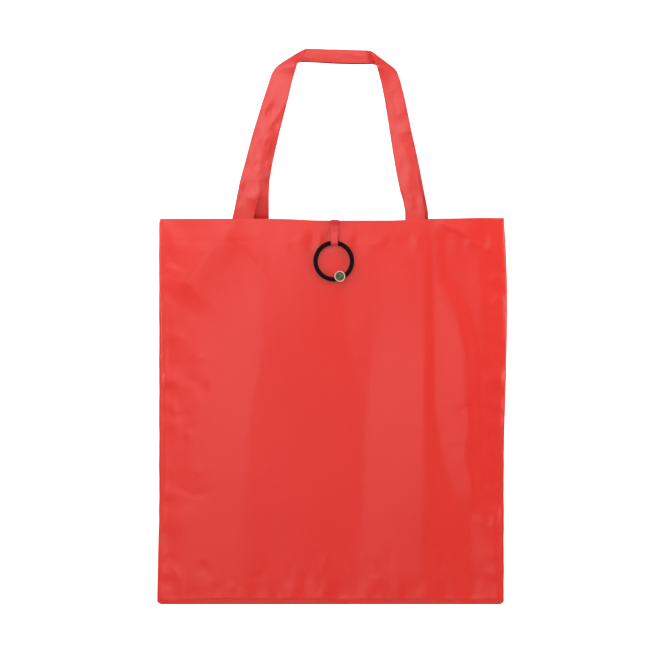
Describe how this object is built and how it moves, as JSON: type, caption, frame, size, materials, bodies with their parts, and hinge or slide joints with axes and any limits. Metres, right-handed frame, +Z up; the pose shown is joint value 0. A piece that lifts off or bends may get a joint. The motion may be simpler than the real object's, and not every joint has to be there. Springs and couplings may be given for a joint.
{
  "type": "foldable tote bag",
  "caption": "Flat foldable tote bag in thin red polyester with wide strap handles, a hemmed mouth and a ribbon tab carrying an elastic ring with a button.",
  "frame": {"origin": "where a hand holds the bag: the underside of the handles' grips, at mid-width and mid-depth", "axes": "+Z up along the hanging bag, +X to the right seen from the front, -Y out of the front panel, which carries the ring"},
  "size_m": [0.3802, 0.0215, 0.6066],
  "materials": {
    "bag_cloth": "thin plain-weave polyester, soft sheen, lightly wrinkled",
    "strap_cloth": "folded polyester strap, edge-stitched, soft sheen",
    "ribbon": "narrow woven ribbon, satin",
    "thread": "matching sewing thread",
    "elastic": "braided elastic cord, matt",
    "button_metal": "aged bronze, satin",
    "button_inlay": "dark green-grey, finely textured"
  },
  "bodies": {
    "bag_upper": {"front_panel_upper": "bag_cloth", "rear_panel_upper": "bag_cloth", "front_hem": "bag_cloth", "rear_hem": "bag_cloth", "front_hem_stitch": "thread", "rear_hem_stitch": "thread", "front_handle_left_end": "strap_cloth", "front_handle_right_end": "strap_cloth", "rear_handle_left_end": "strap_cloth", "rear_handle_right_end": "strap_cloth", "front_handle_left_end_stitch": "thread", "front_handle_right_end_stitch": "thread", "rear_handle_left_end_stitch": "thread", "rear_handle_right_end_stitch": "thread", "tab_anchor": "ribbon", "tab_anchor_stitch": "thread", "left_side_seam_upper": "bag_cloth", "right_side_seam_upper": "bag_cloth"},
    "bag_lower": {"front_panel_lower": "bag_cloth", "rear_panel_lower": "bag_cloth", "left_side_seam_lower": "bag_cloth", "right_side_seam_lower": "bag_cloth", "bottom_seam": "bag_cloth"},
    "front_handle": {"front_handle": "strap_cloth"},
    "rear_handle": {"rear_handle": "strap_cloth"},
    "closure_tab": {"closure_tab": "ribbon"},
    "elastic_ring": {"elastic_cord": "elastic", "cord_crimp": "button_metal"},
    "ring_button": {"button_cup": "button_metal", "button_inlay": "button_inlay", "button_back": "button_metal"}
  },
  "joints": [
    {"name": "bag_fold", "type": "hinge", "parent": "bag_upper", "child": "bag_lower", "pos_m": [0, 0.009, -0.3815], "axis": [1, 0, 0], "range_deg": [0, 176]},
    {"name": "front_handle_swing", "type": "hinge", "parent": "bag_upper", "child": "front_handle", "pos_m": [0, -0.0059, -0.171], "axis": [1, 0, 0], "range_deg": [0, 179]},
    {"name": "rear_handle_swing", "type": "hinge", "parent": "bag_upper", "child": "rear_handle", "pos_m": [0, 0.0059, -0.171], "axis": [-1, 0, 0], "range_deg": [0, 179]},
    {"name": "tab_swing", "type": "hinge", "parent": "bag_upper", "child": "closure_tab", "pos_m": [0.0033, -0.0081, -0.1712], "axis": [-1, 0, 0], "range_deg": [0, 170]},
    {"name": "ring_swing", "type": "hinge", "parent": "closure_tab", "child": "elastic_ring", "pos_m": [0.0033, -0.011, -0.1965], "axis": [-1, 0, 0], "range_deg": [0, 110]},
    {"name": "button_slide", "type": "hinge", "parent": "elastic_ring", "child": "ring_button", "pos_m": [0.0033, -0.011, -0.2165], "axis": [0, -1, 0], "range_deg": [-168, 122]}
  ]
}
